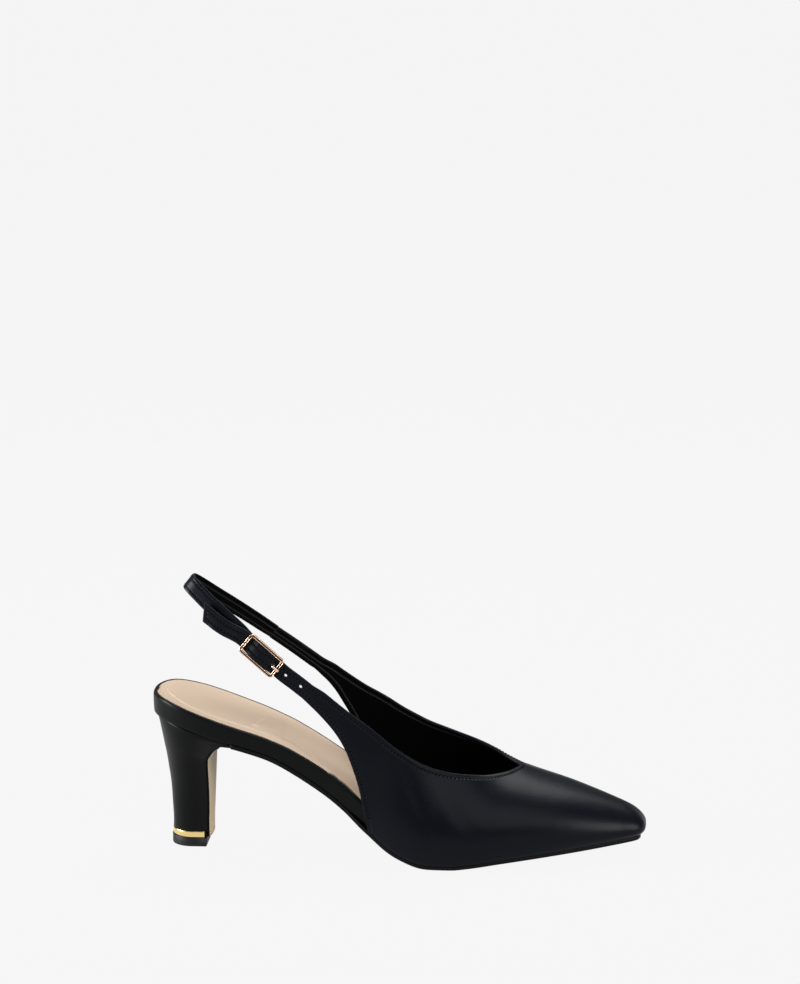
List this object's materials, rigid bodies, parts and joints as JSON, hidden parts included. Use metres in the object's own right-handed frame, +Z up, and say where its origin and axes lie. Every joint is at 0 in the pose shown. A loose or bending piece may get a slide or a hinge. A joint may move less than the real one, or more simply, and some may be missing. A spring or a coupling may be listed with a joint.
{
  "type": "slingback pump",
  "caption": "Right slingback pump: pointed hollow upper with an open throat and heel, strap buckled round the heel, thin arched sole and a covered block heel.",
  "frame": {"origin": "on the floor, in the middle of the heel's tread", "axes": "+X towards the toe along the shoe, +Y towards the inner (medial) side, +Z up; the shoe stands on z = 0"},
  "size_m": [0.2524, 0.0785, 0.1429],
  "materials": {
    "upper_leather": "smooth semi-gloss leather, black with a blue cast",
    "cover_leather": "smooth black leather, semi-gloss",
    "sole_edge": "black dyed and waxed sole edge",
    "sock_lining": "tan smooth lining leather",
    "breast_cover": "natural tan sole leather",
    "heel_rubber": "hard black rubber, satin",
    "gold_metal": "polished gold plating",
    "buckle_metal": "polished pale gold plating"
  },
  "bodies": {
    "root": {"outsole": "sole_edge", "breast_cover": "breast_cover", "heel": "cover_leather", "heel_band": "gold_metal", "toplift": "heel_rubber", "footbed": "cover_leather", "sock": "sock_lining", "upper": "upper_leather", "sling_strap": "upper_leather", "buckle_frame": "buckle_metal", "buckle_prong": "buckle_metal"}
  },
  "joints": []
}
